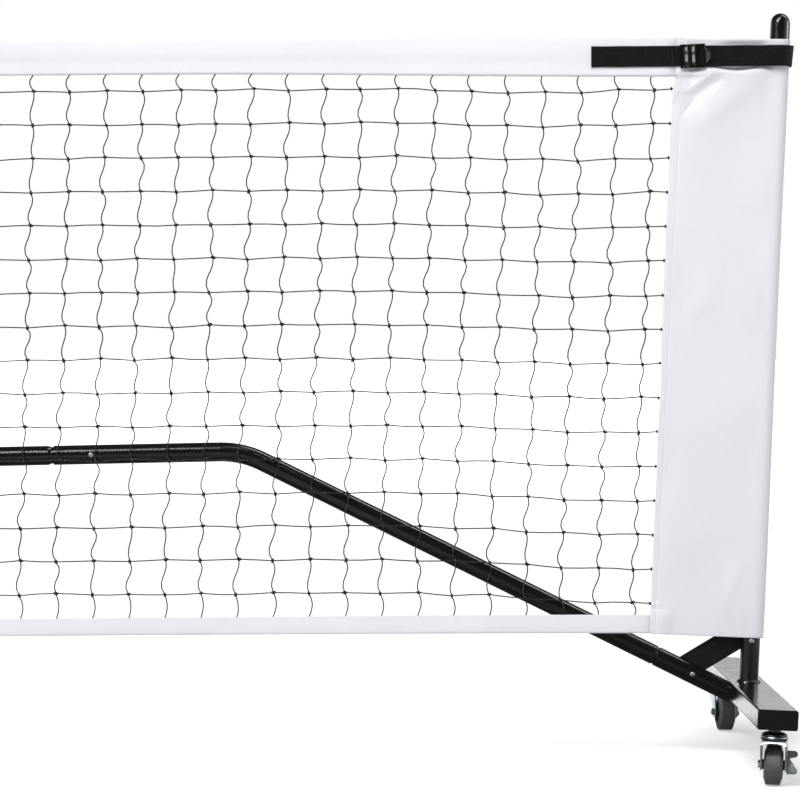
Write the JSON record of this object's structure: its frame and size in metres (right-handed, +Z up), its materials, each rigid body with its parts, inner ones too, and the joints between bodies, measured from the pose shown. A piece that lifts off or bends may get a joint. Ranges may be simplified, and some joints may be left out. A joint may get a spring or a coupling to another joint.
{
  "type": "portable court net",
  "caption": "Portable court net with white tapes and end panels on a black tubular frame with wheeled feet, a middle stand and snap-button joints.",
  "frame": {"origin": "on the floor, under the middle of the net", "axes": "+X along the net to the right end, +Y away from the viewer, +Z up"},
  "size_m": [6.745, 0.61, 0.947],
  "materials": {
    "black_tube": "gloss powder coat",
    "black_plate": "matte powder coat",
    "black_cap": "matte moulded plastic",
    "gloss_cap": "gloss moulded plastic",
    "zinc": "zinc plated",
    "race": "dark plated",
    "spring": "spring steel",
    "lever": "satin dark coat",
    "wheel_hub": "matte moulded plastic",
    "wheel_tread": "satin grey rubber",
    "pad_rubber": "matte rubber",
    "white_cloth": "coated woven cloth",
    "net_string": "knotted string",
    "black_webbing": "woven webbing"
  },
  "bodies": {
    "frame": {"foot_beam_left": "black_tube", "foot_beam_right": "black_tube", "beam_end_caps": "black_cap", "post_sockets": "black_tube", "frame_sockets": "black_tube", "brace_plates": "black_plate", "post_left": "black_tube", "post_right": "black_tube", "post_caps": "gloss_cap", "bent_rail_left": "black_tube", "bent_rail_right": "black_tube", "rail_sleeves": "black_tube", "outer_rails": "black_tube", "inner_rails": "black_tube", "centre_beam": "black_tube", "centre_stand": "black_tube", "centre_rod": "black_tube", "rubber_pads": "pad_rubber", "caster_stems": "race", "stem_nuts": "zinc", "button_springs": "spring", "net_mesh": "net_string", "top_band": "white_cloth", "bottom_band": "white_cloth", "side_panel_left": "white_cloth", "side_panel_right": "white_cloth", "strap_left": "black_webbing", "strap_right": "black_webbing", "buckles": "gloss_cap", "rod_pocket": "white_cloth"},
    "caster_right_front": {"fork_right_front": "zinc", "axle_right_front": "zinc"},
    "wheel_right_front": {"hub_right_front": "wheel_hub", "tyre_right_front": "wheel_tread"},
    "lever_right": {"lock_lever_right": "lever"},
    "caster_right_rear": {"fork_right_rear": "zinc", "axle_right_rear": "zinc"},
    "wheel_right_rear": {"hub_right_rear": "wheel_hub", "tyre_right_rear": "wheel_tread"},
    "caster_left_rear": {"fork_left_rear": "zinc", "axle_left_rear": "zinc"},
    "wheel_left_rear": {"hub_left_rear": "wheel_hub", "tyre_left_rear": "wheel_tread"},
    "lever_left": {"lock_lever_left": "lever"},
    "caster_left_front": {"fork_left_front": "zinc", "axle_left_front": "zinc"},
    "wheel_left_front": {"hub_left_front": "wheel_hub", "tyre_left_front": "wheel_tread"},
    "post_button_left": {"post_button_left": "zinc"},
    "post_button_right": {"post_button_right": "zinc"},
    "socket_button_left": {"socket_button_left": "zinc"},
    "socket_button_right": {"socket_button_right": "zinc"},
    "sleeve_button_left": {"sleeve_button_left": "zinc"},
    "sleeve_button_right": {"sleeve_button_right": "zinc"},
    "rail_button_left": {"rail_button_left": "zinc"},
    "rail_button_right": {"rail_button_right": "zinc"},
    "centre_button_left": {"centre_button_left": "zinc"},
    "centre_button_right": {"centre_button_right": "zinc"},
    "rod_button": {"rod_button": "zinc"}
  },
  "joints": [
    {"name": "swivel_right_front", "type": "hinge", "parent": "frame", "child": "caster_right_front", "pos_m": [3.31394, -0.279, 0.06045], "axis": [0.0457, 0, 0.999], "continuous": true},
    {"name": "roll_right_front", "type": "hinge", "parent": "caster_right_front", "child": "wheel_right_front", "pos_m": [3.31527, -0.26023, 0.02435], "axis": [0.9867, -0.1564, -0.0451], "continuous": true},
    {"name": "lock_right", "type": "hinge", "parent": "caster_right_front", "child": "lever_right", "pos_m": [3.31527, -0.26023, 0.02435], "axis": [0.9867, -0.1564, -0.0451], "range_deg": [0, 20]},
    {"name": "swivel_right_rear", "type": "hinge", "parent": "frame", "child": "caster_right_rear", "pos_m": [3.31394, 0.279, 0.06045], "axis": [0.0457, 0, 0.999], "continuous": true},
    {"name": "roll_right_rear", "type": "hinge", "parent": "caster_right_rear", "child": "wheel_right_rear", "pos_m": [3.31428, 0.2601, 0.0244], "axis": [-0.9935, -0.1045, 0.0455], "continuous": true},
    {"name": "swivel_left_rear", "type": "hinge", "parent": "frame", "child": "caster_left_rear", "pos_m": [-3.31394, 0.279, 0.06045], "axis": [-0.0457, 0, 0.999], "continuous": true},
    {"name": "roll_left_rear", "type": "hinge", "parent": "caster_left_rear", "child": "wheel_left_rear", "pos_m": [-3.31527, 0.26023, 0.02435], "axis": [-0.9867, 0.1564, -0.0451], "continuous": true},
    {"name": "lock_left", "type": "hinge", "parent": "caster_left_rear", "child": "lever_left", "pos_m": [-3.31527, 0.26023, 0.02435], "axis": [-0.9867, 0.1564, -0.0451], "range_deg": [0, 20]},
    {"name": "swivel_left_front", "type": "hinge", "parent": "frame", "child": "caster_left_front", "pos_m": [-3.31394, -0.279, 0.06045], "axis": [-0.0457, 0, 0.999], "continuous": true},
    {"name": "roll_left_front", "type": "hinge", "parent": "caster_left_front", "child": "wheel_left_front", "pos_m": [-3.31428, -0.2601, 0.0244], "axis": [0.9935, 0.1045, 0.0455], "continuous": true},
    {"name": "post_press_left", "type": "slide", "parent": "frame", "child": "post_button_left", "axis": [0, 1, 0], "range_m": [0, 0.0032], "stiffness_N_per_m": 2500, "deforming": ["button_springs"]},
    {"name": "post_press_right", "type": "slide", "parent": "frame", "child": "post_button_right", "axis": [0, 1, 0], "range_m": [0, 0.0032], "stiffness_N_per_m": 2500, "deforming": ["button_springs"]},
    {"name": "socket_press_left", "type": "slide", "parent": "frame", "child": "socket_button_left", "axis": [0, 1, 0], "range_m": [0, 0.0032], "stiffness_N_per_m": 2500, "deforming": ["button_springs"]},
    {"name": "socket_press_right", "type": "slide", "parent": "frame", "child": "socket_button_right", "axis": [0, 1, 0], "range_m": [0, 0.0032], "stiffness_N_per_m": 2500, "deforming": ["button_springs"]},
    {"name": "sleeve_press_left", "type": "slide", "parent": "frame", "child": "sleeve_button_left", "axis": [0, 1, 0], "range_m": [0, 0.0032], "stiffness_N_per_m": 2500, "deforming": ["button_springs"]},
    {"name": "sleeve_press_right", "type": "slide", "parent": "frame", "child": "sleeve_button_right", "axis": [0, 1, 0], "range_m": [0, 0.0032], "stiffness_N_per_m": 2500, "deforming": ["button_springs"]},
    {"name": "rail_press_left", "type": "slide", "parent": "frame", "child": "rail_button_left", "axis": [0, 1, 0], "range_m": [0, 0.0032], "stiffness_N_per_m": 2500, "deforming": ["button_springs"]},
    {"name": "rail_press_right", "type": "slide", "parent": "frame", "child": "rail_button_right", "axis": [0, 1, 0], "range_m": [0, 0.0032], "stiffness_N_per_m": 2500, "deforming": ["button_springs"]},
    {"name": "centre_press_left", "type": "slide", "parent": "frame", "child": "centre_button_left", "axis": [0, 1, 0], "range_m": [0, 0.0032], "stiffness_N_per_m": 2500, "deforming": ["button_springs"]},
    {"name": "centre_press_right", "type": "slide", "parent": "frame", "child": "centre_button_right", "axis": [0, 1, 0], "range_m": [0, 0.0032], "stiffness_N_per_m": 2500, "deforming": ["button_springs"]},
    {"name": "rod_press", "type": "slide", "parent": "frame", "child": "rod_button", "axis": [0, 1, 0], "range_m": [0, 0.0032], "stiffness_N_per_m": 2500, "deforming": ["button_springs"]}
  ]
}
